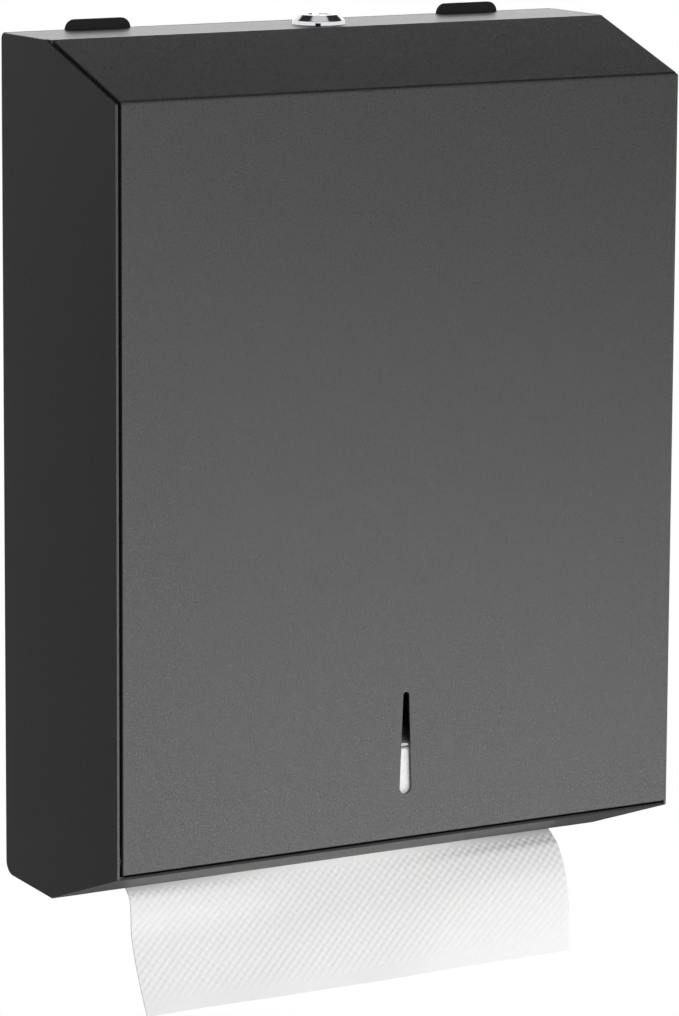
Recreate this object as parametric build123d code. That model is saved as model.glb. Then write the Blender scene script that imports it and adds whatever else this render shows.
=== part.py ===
from build123d import *
import os
from math import hypot

# Wall-mounted dispenser for folded paper towels, made of powder-coated sheet steel.
# X runs across and points right as seen from the front, Y runs back to the wall, Z runs up.
# The origin is the middle of the four wall holes, on the face that lies against the wall.

# Cabinet outline, in millimetres
WIDTH = 275.0
DEPTH = 100.0
TOP_DEPTH = 42.0
SLOPE_DROP = 20.5
FRONT_HEIGHT = 321.5
LIP_DEPTH = 58.5
LIP_DROP = 20.5
REAR_RISE = 2.5

# Sheet metal
SHEET = 1.2
BEND = 0.6
REAR_TOP_ROUND = 2.5
REAR_LOW_ROUND = 6.0
LOW_ROUND = 2.0
FRONT_ROUND = 0.8
EDGE_ROUND = 0.3
FOLD_GAP = 1.0
OVERRUN = 4.0

# Back panel
BACK_FLANGE = 12.0
EAR_WIDTH = 31.0
EAR_SPACING = 184.2
EAR_RISE = 4.2
EAR_ROUND = 4.5
HOLE_SPACING_X = 200.0
HOLE_SPACING_Z = 200.0
HOLE_RADIUS = 3.25

# Top panel
TOP_FLANGE = 8.0

# Towel tray
SLOT_END = 16.0
LEDGE = 14.0
HEM = 8.0
TRAY_BACK_RISE = 16.0
TRAY_FLANGE = 10.0
TRAY_FLANGE_FRONT = 18.0
TRAY_FLANGE_REAR = 14.0

# Door
DOOR_FLANGE = 11.0
DOOR_PROUD = 1.2
LEFT_SEAM = 1.0
RIGHT_SEAM = 0.4
TOP_SEAM = 0.3
FOOT_SEAM = 0.6
SIGHT_X = 1.7
SIGHT_FOOT = 20.5
SIGHT_LENGTH = 44.3
SIGHT_LOW_WIDTH = 5.9
SIGHT_TOP_WIDTH = 3.0

# Hinge
HINGE_INSET = 4.6
HINGE_RISE = 5.5
STUD_RADIUS = 1.8
STUD_END = 2.0
STUD_CHAMFER = 0.5
STUD_FIT = 0.05
WASHER_PLAY = 0.15
HINGE_WASHER_RADIUS = 3.0
CLIP_SHEET = 0.6
CLIP_RADIUS = 3.1
CLIP_DISH = 0.3
CLIP_FIT = 0.02
PLAY = 0.3

# Lock
LOCK_X = 3.1
LOCK_FRONT = 19.2
BARREL_RADIUS = 9.4
BARREL_FLATS = 16.4
BARREL_LENGTH = 15.0
BARREL_FIT = 0.1
BEZEL_RADIUS = 11.5
BEZEL_RIM = 1.6
BEZEL_RIM_TAPER = 0.5
BEZEL_HEIGHT = 4.1
BEZEL_TOP_RADIUS = 8.3
BEZEL_ROUND = 0.4
BEZEL_NOTCH = 2.3
BEZEL_NOTCH_DEPTH = 2.6
BEZEL_NOTCH_HEIGHT = 1.0
BEZEL_NOTCH_TURN = -32.0
LOCK_WASHER = 0.8
LOCK_WASHER_RADIUS = 12.6
NUT_FLATS = 23.0
NUT_HEIGHT = 4.0
NUT_FIT = 0.05
NUT_CHAMFER = 0.6
PLUG_RADIUS = 5.5
PLUG_HEAD_RADIUS = 6.4
PLUG_HEAD = 2.0
PLUG_SINK = 0.5
PLUG_FIT = 0.05
KEY_LENGTH = 8.0
KEY_WIDTH = 1.8
KEY_DEPTH = 9.0
DRIVE = 6.5
DRIVE_FIT = 0.05
CAM_SHEET = 2.4
CAM_REACH = 22.0
CAM_WIDTH = 13.0
CAM_HUB_RADIUS = 8.0
CAM_WASHER = 0.8
CAM_WASHER_RADIUS = 5.6
SCREW_RADIUS = 2.0
SCREW_LENGTH = 7.0
SCREW_FIT = 0.05
SCREW_FLATS = 7.0
SCREW_HEAD = 2.8

# Door catch, hooked behind the turned cam
CATCH_SHEET = 1.6
CATCH_WIDTH = 12.0
CATCH_SIDE = 10.5
CATCH_CLEAR = 1.8
CATCH_SET_BACK = 1.5
CATCH_TAB_OVER = 0.5
CATCH_TOP_GAP = 3.0
RIVET_RADIUS = 1.4
RIVET_HEAD_RADIUS = 2.3
RIVET_HEAD = 1.1
RIVET_SPACING = 6.0
RIVET_RISE_SHARE = 0.4
RIVET_FIT = 0.02

# Folded towels
TOWEL_LEFT_ROOM = 34.2
TOWEL_RIGHT_ROOM = 22.9
STACK_FRONT_GAP = 0.8
STACK_REAR_GAP = 5.6
STACK_STEP_GAP = 0.8
STACK_DOOR_GAP = 0.7
STACK_RISE = 42.0
STACK_ROUND = 2.5
ARCH_RISE = 13.5
ARCH_FRONT = 14.0
ARCH_RUN = 6.0
PAPER_CLEAR = 0.35

# Hanging towel: the tables give its curve at three places as shares of the reach and of the hang
TOWEL_SHEET = 0.6
TOWEL_SLOT_GAP = 1.0
TOWEL_HANG = 52.0
TOWEL_REACH = 20.0
TOWEL_INSIDE = 41.5
TOWEL_FOLD = 7.0
LEFT_CURVE_SHARES = [(0.0, 0.02), (0.30, 0.16), (0.40, 0.42), (1.0, 1.0)]
MIDDLE_CURVE_SHARES = [(0.0, 0.05), (0.32, 0.24), (0.60, 0.52), (1.0, 1.0)]
RIGHT_CURVE_SHARES = [(0.0, 0.02), (0.62, 0.16), (0.90, 0.42), (1.0, 1.0)]

# Places that follow from the sizes above
TOP_Z = (SLOPE_DROP + FRONT_HEIGHT + LIP_DROP) / 2
CORNER_Z = TOP_Z - SLOPE_DROP
FRONT_LOW_Z = CORNER_Z - FRONT_HEIGHT
LOW_Z = FRONT_LOW_Z - LIP_DROP
LOW_Y = LIP_DEPTH - DEPTH
REAR_LOW_Z = LOW_Z + REAR_RISE
ROOM_HALF = WIDTH / 2 - SHEET
DOOR_WIDTH = 2 * ROOM_HALF - LEFT_SEAM - RIGHT_SEAM
DOOR_X = (LEFT_SEAM - RIGHT_SEAM) / 2
SLOPE_STRETCH = hypot(1, SLOPE_DROP / (DEPTH - TOP_DEPTH))
LIP_STRETCH = hypot(1, LIP_DROP / LIP_DEPTH)
LIP_ALONG = Vector(1 / LIP_STRETCH, -LIP_DROP / LIP_DEPTH / LIP_STRETCH)
LIP_UP = Vector(-LIP_ALONG.Y, LIP_ALONG.X)
SLOT_WIDTH = 2 * (ROOM_HALF - SLOT_END)
SLOT_REAR_Y = -SHEET - LEDGE
DOOR_LOW_Z = FRONT_LOW_Z + SHEET * LIP_STRETCH + FOOT_SEAM
DOOR_TOP_Y = -TOP_DEPTH - TOP_SEAM
FOOT_DROP = DOOR_FLANGE * LIP_DROP / LIP_DEPTH
FOOT_SWING = hypot(DOOR_FLANGE - HINGE_INSET, HINGE_RISE + FOOT_DROP)
HINGE_Y = HINGE_INSET - DEPTH
HINGE_Z = DOOR_LOW_Z + HINGE_RISE
LOCK_Y = LOCK_FRONT - TOP_DEPTH
BARREL_LOW_Z = TOP_Z - SHEET - BARREL_LENGTH
CAM_TOP_Z = BARREL_LOW_Z - PLAY
CAM_LOW_Z = CAM_TOP_Z - CAM_SHEET
CATCH_X = LOCK_X + CATCH_SIDE + CATCH_WIDTH / 2
TOWEL_WIDTH = 2 * ROOM_HALF - TOWEL_LEFT_ROOM - TOWEL_RIGHT_ROOM
TOWEL_X = (TOWEL_LEFT_ROOM - TOWEL_RIGHT_ROOM) / 2
TOWEL_Y = LOW_Y + TOWEL_SLOT_GAP


def slope_z(y):
    """Height of the slope's outer skin at depth y."""
    return CORNER_Z + (y + DEPTH) * SLOPE_DROP / (DEPTH - TOP_DEPTH)


def lip_low_z(y):
    """Height of the lip's lower skin at depth y."""
    return FRONT_LOW_Z - (y + DEPTH) * LIP_DROP / LIP_DEPTH


def lip_top_z(y):
    """Height of the lip's upper skin at depth y."""
    return lip_low_z(y) + SHEET * LIP_STRETCH


def floor_z(y):
    """Height of the tray floor's lower skin at depth y."""
    return LOW_Z - (y - LOW_Y) * REAR_RISE / LOW_Y


def rounded(points, radii):
    """Closed face through the points, each corner with its own radius."""
    return make_face(FilletPolyline(*points, radius=radii, close=True))


def across(face, width, centre=0):
    """Draw a face of the side plane out along X, half to each side of the centre."""
    return Pos(centre, 0, 0) * extrude(Plane.YZ * face, width / 2, both=True)


def bent_sheet(points, thickness, radii):
    """Face of a bent sheet: the points follow one skin, the sheet lies on their left side."""
    skin = [Vector(*point) for point in points]
    along = [(b - a).normalized() for a, b in zip(skin, skin[1:])]
    left = [Vector(-u.Y, u.X) for u in along]
    other = [skin[0] + left[0] * thickness]
    skin_radii = []
    other_radii = []
    for point, n, m, radius in zip(skin[1:], left, left[1:], radii):
        other.append(point + (n + m) * (thickness / (1 + n.dot(m))))
        turns_left = n.cross(m).Z > 0
        skin_radii.append(radius + thickness if turns_left else radius)
        other_radii.append(radius if turns_left else radius + thickness)
    other.append(skin[-1] + left[-1] * thickness)
    one = FilletPolyline(*skin, radius=skin_radii)
    two = FilletPolyline(*other, radius=other_radii)
    ends = [Line(skin[0], other[0]), Line(skin[-1], other[-1])]
    return make_face([*one.edges(), *two.edges(), *ends])


def inset(points, walls):
    """Counter-clockwise outline with side k, from point k to the next one, moved in by walls[k]."""
    corners = [Vector(*point) for point in points]
    along = [(b - a).normalized() for a, b in zip(corners, corners[1:] + corners[:1])]
    moved = [a + Vector(-u.Y, u.X) * wall for a, u, wall in zip(corners, along, walls)]
    result = []
    for k in range(len(corners)):
        p, u, q, v = moved[k - 1], along[k - 1], moved[k], along[k]
        result.append(p + u * ((q - p).cross(v).Z / u.cross(v).Z))
    return result


def upright(radius, height, low_z, x=LOCK_X, y=LOCK_Y):
    """Upright cylinder that stands on the height low_z, on the lock's axis if not told otherwise."""
    return Pos(x, y, low_z) * Cylinder(radius, height, align=(Align.CENTER, Align.CENTER, Align.MIN))


def lengthwise(radius, start_x, end_x, y=HINGE_Y, z=HINGE_Z):
    """Cylinder along X between two places, on the hinge axis if not told otherwise."""
    middle = Pos((start_x + end_x) / 2, y, z)
    return middle * Rot(0, 90, 0) * Cylinder(radius, abs(end_x - start_x))


def edges_above_foot(block):
    """Every edge of an upright block but those of its bottom face."""
    groups = block.edges().group_by(Axis.Z)[1:]
    return [edge for group in groups for edge in group]


def side_panel(side):
    """Flat side sheet, set back from the door's skin; side is -1 on the left and 1 on the right."""
    outline = [
        (-DEPTH, FRONT_LOW_Z),
        (LOW_Y, LOW_Z),
        (0, REAR_LOW_Z),
        (0, TOP_Z),
        (-TOP_DEPTH, TOP_Z),
        (-DEPTH, CORNER_Z),
    ]
    corners = inset(outline, [0, 0, 0, 0, DOOR_PROUD, DOOR_PROUD])
    radii = [FRONT_ROUND, LOW_ROUND, REAR_LOW_ROUND, REAR_TOP_ROUND, FRONT_ROUND, FRONT_ROUND]
    sheet = across(rounded(corners, radii), SHEET, side * (WIDTH - SHEET) / 2)
    outer_face = sheet.faces().sort_by(Axis.X)[-1 if side > 0 else 0]
    return fillet(outer_face.edges(), EDGE_ROUND)


def back_panel():
    """Back sheet with forward flanges, two ears above the top and four wall holes."""
    low = REAR_LOW_Z + REAR_LOW_ROUND
    flange_low = REAR_LOW_Z + TRAY_BACK_RISE + FOLD_GAP
    flange_top = TOP_Z - TOP_FLANGE - FOLD_GAP
    plan = [(ROOM_HALF, -BACK_FLANGE), (ROOM_HALF, 0), (-ROOM_HALF, 0), (-ROOM_HALF, -BACK_FLANGE)]
    section = Pos(0, 0, flange_low) * bent_sheet(plan, SHEET, [BEND, BEND])
    panel = extrude(section, flange_top - flange_low)
    for bottom, top in ((low, flange_low), (flange_top, TOP_Z)):
        panel += Pos(0, -SHEET / 2, (bottom + top) / 2) * Box(2 * ROOM_HALF, SHEET, top - bottom)
    for side in (-1, 1):
        middle = side * EAR_SPACING / 2
        left, right, ear_top = middle - EAR_WIDTH / 2, middle + EAR_WIDTH / 2, TOP_Z + EAR_RISE
        ear_points = [(left, flange_top), (right, flange_top), (right, ear_top), (left, ear_top)]
        ear = rounded(ear_points, [0, 0, EAR_ROUND, EAR_ROUND])
        panel += extrude(Plane.XZ * ear, SHEET)
    for x in (-HOLE_SPACING_X / 2, HOLE_SPACING_X / 2):
        for z in (-HOLE_SPACING_Z / 2, HOLE_SPACING_Z / 2):
            panel -= Pos(x, 0, z) * Rot(90, 0, 0) * Cylinder(HOLE_RADIUS, 2 * (SHEET + OVERRUN))
    return panel


def barrel_section(clearance):
    """Round lock barrel with two flats, on the lock's axis."""
    section = Circle(BARREL_RADIUS + clearance)
    section &= Rectangle(BARREL_FLATS + 2 * clearance, 2 * (BARREL_RADIUS + clearance))
    return Pos(LOCK_X, LOCK_Y) * section


def top_panel():
    """Folded pan behind the slope, open below, with the hole for the lock."""
    length = TOP_DEPTH - SHEET
    middle_y = -(TOP_DEPTH + SHEET) / 2
    hang = (Align.CENTER, Align.CENTER, Align.MAX)
    outer = Pos(0, middle_y, TOP_Z) * Box(2 * ROOM_HALF, length, TOP_FLANGE, align=hang)
    outer = fillet(edges_above_foot(outer), EDGE_ROUND)
    room = Box(2 * (ROOM_HALF - SHEET), length - 2 * SHEET, TOP_FLANGE + OVERRUN, align=hang)
    room = Pos(0, middle_y, TOP_Z - SHEET) * room
    room = fillet(edges_above_foot(room), BEND)
    hole = extrude(Pos(0, 0, TOP_Z) * barrel_section(BARREL_FIT), SHEET + OVERRUN, both=True)
    return outer - room - hole


def towel_tray():
    """Bent sheet from the front lip over the floor to the rear flange, with a hemmed slot."""
    lip_front_y = -DEPTH + DOOR_PROUD
    rear_y = -SHEET
    skin = [
        (lip_front_y, lip_low_z(lip_front_y)),
        (LOW_Y, LOW_Z),
        (rear_y, floor_z(rear_y)),
        (rear_y, REAR_LOW_Z + TRAY_BACK_RISE),
    ]
    bends = [LOW_ROUND - SHEET, REAR_LOW_ROUND - SHEET]
    tray = across(bent_sheet(skin, SHEET, bends), 2 * ROOM_HALF)
    lip_front = tray.faces().sort_by(Axis.Y)[0]
    tray = fillet(lip_front.edges().filter_by(Axis.X), EDGE_ROUND)

    # End flanges stand up along the side panels, clear of the door and the back panel
    front_y = -DEPTH + TRAY_FLANGE_FRONT
    back_y = -TRAY_FLANGE_REAR
    lip_rise = SHEET * LIP_STRETCH
    flange_points = [
        (front_y, lip_top_z(front_y)),
        (LOW_Y, lip_top_z(LOW_Y)),
        (back_y, floor_z(back_y) + SHEET / 2),
        (back_y, floor_z(back_y) + SHEET + TRAY_FLANGE),
        (LOW_Y, lip_top_z(LOW_Y) + TRAY_FLANGE),
        (front_y, lip_top_z(front_y) + TRAY_FLANGE - lip_rise),
    ]
    flange = make_face(Polyline(*flange_points, close=True))
    for side in (-1, 1):
        tray += across(flange, SHEET, side * (ROOM_HALF - SHEET / 2))

    # The slot opens behind the lip's lowest edge
    lip_end = Vector(LOW_Y, LOW_Z) - LIP_ALONG * SHEET
    slot_points = [
        lip_end - LIP_UP * OVERRUN,
        Vector(SLOT_REAR_Y, LOW_Z - OVERRUN),
        Vector(SLOT_REAR_Y, LOW_Z + LIP_DROP),
        lip_end + LIP_UP * LIP_DROP,
    ]
    tray -= across(make_face(Polyline(*slot_points, close=True)), SLOT_WIDTH)

    # Both long edges of the slot are folded back on themselves
    lip_fold = lip_end + LIP_UP * SHEET
    lip_leg = [
        lip_fold,
        lip_fold + LIP_UP * SHEET,
        lip_fold + LIP_UP * SHEET - LIP_ALONG * HEM,
        lip_fold - LIP_ALONG * HEM,
    ]
    floor_fold = Vector(SLOT_REAR_Y, floor_z(SLOT_REAR_Y) + SHEET)
    floor_along = Vector(-LOW_Y, REAR_RISE).normalized()
    floor_up = Vector(-floor_along.Y, floor_along.X)
    floor_leg = [
        floor_fold,
        floor_fold + floor_along * HEM,
        floor_fold + floor_along * HEM + floor_up * SHEET,
        floor_fold + floor_up * SHEET,
    ]
    for fold, leg in ((lip_fold, lip_leg), (floor_fold, floor_leg)):
        tray += across(make_face(Polyline(*leg, close=True)), SLOT_WIDTH)
        tray += lengthwise(SHEET, -SLOT_WIDTH / 2, SLOT_WIDTH / 2, fold.X, fold.Y)
    return tray


def door_panel():
    """Front and slope folded from one sheet, flanged all round, with a tapered sight slot."""
    flange_y = -DEPTH + DOOR_FLANGE
    flange_drop = DOOR_FLANGE * SLOPE_STRETCH
    section = [
        (-DEPTH, DOOR_LOW_Z),
        (flange_y, DOOR_LOW_Z - FOOT_DROP),
        (flange_y, slope_z(flange_y) - flange_drop),
        (DOOR_TOP_Y, slope_z(DOOR_TOP_Y) - flange_drop),
        (DOOR_TOP_Y, slope_z(DOOR_TOP_Y)),
        (-DEPTH, CORNER_Z),
    ]
    room_section = inset(section, [SHEET, -OVERRUN, -OVERRUN, SHEET, SHEET, SHEET])
    outer = across(rounded(section, [0, 0, 0, 0, 0, BEND + SHEET]), DOOR_WIDTH, DOOR_X)
    room = across(rounded(room_section, [0, 0, 0, 0, 0, BEND]), DOOR_WIDTH - 2 * SHEET, DOOR_X)
    door = fillet(skin_border(outer), EDGE_ROUND) - room

    low_radius, top_radius = SIGHT_LOW_WIDTH / 2, SIGHT_TOP_WIDTH / 2
    low_z = FRONT_LOW_Z + SIGHT_FOOT + low_radius
    top_z = FRONT_LOW_Z + SIGHT_FOOT + SIGHT_LENGTH - top_radius
    ends = [Pos(SIGHT_X, low_z) * Circle(low_radius), Pos(SIGHT_X, top_z) * Circle(top_radius)]
    sight = make_hull([edge for end in ends for edge in end.edges()])
    door -= extrude(Plane.XZ.offset(DEPTH) * sight, SHEET + OVERRUN, both=True)

    door -= lengthwise(STUD_RADIUS + STUD_FIT, -WIDTH / 2, WIDTH / 2)
    for x, y, z in rivet_places():
        door -= Pos(x, y, z) * Rot(90, 0, 0) * Cylinder(RIVET_RADIUS + RIVET_FIT, 2 * SHEET + RIVET_FIT)
    return door


def skin_border(block):
    """Edges around the front and the slope of a door-shaped block."""
    skin = []
    for face in block.faces():
        normal = face.normal_at()
        if -normal.Y > abs(normal.X) and normal.Z > normal.Y:
            skin.extend(face.edges())
    return [edge for edge in skin if sum(edge.is_same(other) for other in skin) == 1]


def door_edge(side):
    """Distance from the middle of the cabinet to the door's outer face on this side."""
    return DOOR_WIDTH / 2 + side * DOOR_X


def rivet_places():
    """Middle of each catch rivet, on the door's top flange."""
    y = DOOR_TOP_Y - SHEET / 2
    z = slope_z(DOOR_TOP_Y) - DOOR_FLANGE * SLOPE_STRETCH * (1 - RIVET_RISE_SHARE)
    return [(CATCH_X - RIVET_SPACING / 2, y, z), (CATCH_X + RIVET_SPACING / 2, y, z)]


def door_catch():
    """Bent strip from the door's top flange to a tab behind the turned cam."""
    front_y = DOOR_TOP_Y - SHEET - CATCH_SHEET
    back_y = LOCK_Y + CAM_WIDTH / 2 + CATCH_SET_BACK + CATCH_SHEET
    low_z = CAM_LOW_Z - CATCH_CLEAR - CATCH_SHEET
    skin = [
        (front_y, slope_z(front_y) - CATCH_TOP_GAP),
        (front_y, low_z),
        (back_y, low_z),
        (back_y, CAM_TOP_Z + CATCH_TAB_OVER),
    ]
    catch = across(bent_sheet(skin, CATCH_SHEET, [CATCH_SHEET, BEND]), CATCH_WIDTH, CATCH_X)
    hole = Rot(90, 0, 0) * Cylinder(RIVET_RADIUS + RIVET_FIT, 2 * CATCH_SHEET + OVERRUN)
    for x, y, z in rivet_places():
        catch -= Pos(x, front_y, z) * hole
    return catch


def catch_rivets():
    """Two rivets, flush on the flange's rear face and domed on the catch."""
    rivets = []
    for x, y, z in rivet_places():
        length = SHEET + CATCH_SHEET
        stand = (Align.CENTER, Align.CENTER, Align.MIN)
        shank = Rot(90, 0, 0) * Cylinder(RIVET_RADIUS, length, align=stand)
        dome = extrude(Circle(RIVET_HEAD_RADIUS), RIVET_HEAD)
        dome = fillet(dome.edges().group_by(Axis.Z)[-1], RIVET_HEAD - RIVET_FIT)
        rivet = shank + Pos(0, -length, 0) * Rot(90, 0, 0) * dome
        rivets.append(Pos(x, DOOR_TOP_Y, z) * rivet)
    return Compound(children=rivets)


def hinge_stud(side):
    """Weld stud on the inside of a side panel, through the washer, the door and the clip."""
    end_x = door_edge(side) - SHEET - PLAY - CLIP_DISH - STUD_END
    stud = lengthwise(STUD_RADIUS, end_x, ROOM_HALF)
    tip = stud.faces().sort_by(Axis.X)[0]
    stud = chamfer(tip.edges(), STUD_CHAMFER)
    return stud if side > 0 else mirror(stud, about=Plane.YZ)


def hinge_washer(side):
    """Nylon spacer between a side panel and the door's flange."""
    inner_x = side * (door_edge(side) + WASHER_PLAY)
    ring = lengthwise(HINGE_WASHER_RADIUS, inner_x, side * ROOM_HALF)
    bore = lengthwise(STUD_RADIUS + STUD_FIT, inner_x - side * OVERRUN, side * (ROOM_HALF + OVERRUN))
    return ring - bore


def hinge_clip(side):
    """Dished push-on clip that holds the door on its stud."""
    bore = STUD_RADIUS + CLIP_FIT
    profile = [
        (bore, CLIP_DISH),
        (CLIP_RADIUS, 0),
        (CLIP_RADIUS, CLIP_SHEET),
        (bore, CLIP_DISH + CLIP_SHEET),
    ]
    ring = revolve(Plane.XZ * make_face(Polyline(*profile, close=True)), Axis.Z)
    seat_x = door_edge(side) - SHEET - PLAY
    clip = Pos(seat_x, HINGE_Y, HINGE_Z) * Rot(0, -90, 0) * ring
    return clip if side > 0 else mirror(clip, about=Plane.YZ)


def lock_housing():
    """Chromed conical bezel on a flatted barrel, bored for the plug."""
    cone_foot = TOP_Z + BEZEL_RIM
    profile = [
        (0, TOP_Z),
        (BEZEL_RADIUS, TOP_Z),
        (BEZEL_RADIUS - BEZEL_RIM_TAPER, cone_foot),
        (BEZEL_TOP_RADIUS, TOP_Z + BEZEL_HEIGHT),
        (0, TOP_Z + BEZEL_HEIGHT),
    ]
    bezel = revolve(Plane.XZ * rounded(profile, [0, 0, BEZEL_ROUND, BEZEL_ROUND, 0]), Axis.Z)
    bezel = Pos(LOCK_X, LOCK_Y, 0) * bezel
    grow_in = (Align.CENTER, Align.MIN, Align.MIN)
    notch = Box(BEZEL_NOTCH, BEZEL_NOTCH_DEPTH, BEZEL_NOTCH_HEIGHT, align=grow_in)
    bezel -= Pos(LOCK_X, LOCK_Y, TOP_Z) * Rot(0, 0, BEZEL_NOTCH_TURN) * Pos(0, -BEZEL_RADIUS, 0) * notch
    barrel = extrude(Pos(0, 0, BARREL_LOW_Z) * barrel_section(0), TOP_Z - BARREL_LOW_Z)
    housing = bezel + barrel
    bore_length = BARREL_LENGTH + SHEET + BEZEL_HEIGHT + OVERRUN
    housing -= upright(PLUG_RADIUS + PLUG_FIT, bore_length, BARREL_LOW_Z - OVERRUN)
    seat_z = TOP_Z + BEZEL_HEIGHT - PLUG_SINK - PLUG_HEAD - PLUG_FIT
    housing -= upright(PLUG_HEAD_RADIUS + PLUG_FIT, PLUG_HEAD + PLUG_SINK + OVERRUN, seat_z)
    return housing


def lock_washer():
    """Flat ring under the top panel."""
    low = TOP_Z - SHEET - LOCK_WASHER
    bore = upright(BARREL_RADIUS + BARREL_FIT, LOCK_WASHER + 2 * OVERRUN, low - OVERRUN)
    return upright(LOCK_WASHER_RADIUS, LOCK_WASHER, low) - bore


def lock_nut():
    """Hexagon nut on the lock barrel."""
    low = TOP_Z - SHEET - LOCK_WASHER - NUT_HEIGHT
    hexagon = RegularPolygon(NUT_FLATS / 2, 6, major_radius=False)
    nut = extrude(Pos(LOCK_X, LOCK_Y, low) * hexagon, NUT_HEIGHT)
    nut -= upright(BARREL_RADIUS + NUT_FIT, NUT_HEIGHT + 2 * OVERRUN, low - OVERRUN)
    return chamfer(nut.edges().filter_by(GeomType.CIRCLE), NUT_CHAMFER / 2)


def lock_plug():
    """Turning core: head, body and square drive, with the key slot and the screw hole."""
    head_top = TOP_Z + BEZEL_HEIGHT - PLUG_SINK
    plug = upright(PLUG_HEAD_RADIUS, PLUG_HEAD, head_top - PLUG_HEAD)
    plug += upright(PLUG_RADIUS, head_top - CAM_TOP_Z, CAM_TOP_Z)
    drive = Box(DRIVE, DRIVE, CAM_SHEET, align=(Align.CENTER, Align.CENTER, Align.MIN))
    plug += Pos(LOCK_X, LOCK_Y, CAM_LOW_Z) * drive
    key = Box(KEY_WIDTH, KEY_LENGTH, KEY_DEPTH, align=(Align.CENTER, Align.CENTER, Align.MAX))
    plug -= Pos(LOCK_X, LOCK_Y, head_top) * key
    return plug - upright(SCREW_RADIUS + SCREW_FIT, SCREW_LENGTH + SCREW_FIT, CAM_LOW_Z)


def lock_cam():
    """Flat cam on the square drive; it points to the front when the lock is open."""
    arm_length = CAM_REACH - CAM_WIDTH / 2
    outline = Circle(CAM_HUB_RADIUS)
    outline += Pos(0, -arm_length / 2) * Rectangle(CAM_WIDTH, arm_length)
    outline += Pos(0, -arm_length) * Circle(CAM_WIDTH / 2)
    outline -= Rectangle(DRIVE + 2 * DRIVE_FIT, DRIVE + 2 * DRIVE_FIT)
    return extrude(Pos(LOCK_X, LOCK_Y, CAM_LOW_Z) * outline, CAM_SHEET)


def cam_washer():
    """Washer between the cam and its screw."""
    low = CAM_LOW_Z - CAM_WASHER
    bore = upright(SCREW_RADIUS + SCREW_FIT, CAM_WASHER + 2 * OVERRUN, low - OVERRUN)
    return upright(CAM_WASHER_RADIUS, CAM_WASHER, low) - bore


def cam_screw():
    """Hexagon-head screw that holds the cam on the plug."""
    head_top = CAM_LOW_Z - CAM_WASHER
    hexagon = RegularPolygon(SCREW_FLATS / 2, 6, major_radius=False)
    head = extrude(Pos(LOCK_X, LOCK_Y, head_top - SCREW_HEAD) * hexagon, SCREW_HEAD)
    return head + upright(SCREW_RADIUS, CAM_WASHER + SCREW_LENGTH - SCREW_FIT, head_top)


def towel_stack():
    """Folded towels on the lip and the rear ledge, arched over the slot, the upper ones on the door."""
    front = HINGE_Y + FOOT_SWING + STACK_FRONT_GAP
    rear = -SHEET - STACK_REAR_GAP
    step_z = HINGE_Z + FOOT_SWING + STACK_STEP_GAP
    upper_front = -DEPTH + SHEET + STACK_DOOR_GAP
    upper_rear = rear + upper_front - front
    top = FRONT_LOW_Z + STACK_RISE
    arch_z = LOW_Z + ARCH_RISE
    arch_front = LOW_Y - ARCH_FRONT
    ledge_z = floor_z(-SHEET) + 2 * SHEET + PAPER_CLEAR
    slit_top = LOW_Z + TOWEL_INSIDE + PAPER_CLEAR
    slit_front = TOWEL_Y - PAPER_CLEAR
    slit_rear = TOWEL_Y + TOWEL_SHEET + PAPER_CLEAR
    points = [
        (front, lip_top_z(front) + PAPER_CLEAR),
        (arch_front, lip_top_z(arch_front) + PAPER_CLEAR),
        (arch_front + ARCH_RUN, arch_z),
        (slit_front, arch_z),
        (slit_front, slit_top),
        (slit_rear, slit_top),
        (slit_rear, arch_z),
        (SLOT_REAR_Y - ARCH_RUN, arch_z),
        (SLOT_REAR_Y, ledge_z),
        (rear, ledge_z),
        (rear, step_z),
        (upper_rear, step_z),
        (upper_rear, top),
        (upper_front, top),
        (upper_front, step_z),
        (front, step_z),
    ]
    arch_corners = (2, 7)
    radii = [STACK_ROUND if k in arch_corners else 0 for k in range(len(points))]
    return across(rounded(points, radii), TOWEL_WIDTH, TOWEL_X)


def towel_section(shares, x):
    """Section of the hanging towel at x: straight inside the slot, then along the given curve."""
    skin = [(TOWEL_Y, LOW_Z + TOWEL_INSIDE)]
    for reach_share, hang_share in shares:
        skin.append((TOWEL_Y - TOWEL_REACH * reach_share, LOW_Z - TOWEL_HANG * hang_share))
    face = bent_sheet(skin, TOWEL_SHEET, [TOWEL_FOLD] * (len(skin) - 2))
    return Plane.YZ.offset(x) * face


def hanging_towel():
    """Thin sheet whose curve changes from its left edge to its right edge."""
    left = towel_section(LEFT_CURVE_SHARES, TOWEL_X - TOWEL_WIDTH / 2)
    middle = towel_section(MIDDLE_CURVE_SHARES, TOWEL_X)
    right = towel_section(RIGHT_CURVE_SHARES, TOWEL_X + TOWEL_WIDTH / 2)
    return loft([left.face(), middle.face(), right.face()], ruled=True)


PIECES = {
    "back_panel": back_panel(),
    "left_side_panel": side_panel(-1),
    "right_side_panel": side_panel(1),
    "top_panel": top_panel(),
    "towel_tray": towel_tray(),
    "left_hinge_stud": hinge_stud(-1),
    "right_hinge_stud": hinge_stud(1),
    "left_hinge_washer": hinge_washer(-1),
    "right_hinge_washer": hinge_washer(1),
    "left_hinge_clip": hinge_clip(-1),
    "right_hinge_clip": hinge_clip(1),
    "lock_housing": lock_housing(),
    "lock_washer": lock_washer(),
    "lock_nut": lock_nut(),
    "towel_stack": towel_stack(),
    "door_panel": door_panel(),
    "door_catch": door_catch(),
    "catch_rivets": catch_rivets(),
    "lock_plug": lock_plug(),
    "lock_cam": lock_cam(),
    "cam_washer": cam_washer(),
    "cam_screw": cam_screw(),
    "hanging_towel": hanging_towel(),
}

os.makedirs("parts", exist_ok=True)
for name, piece in PIECES.items():
    export_step(piece, f"parts/{name}.step")
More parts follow.
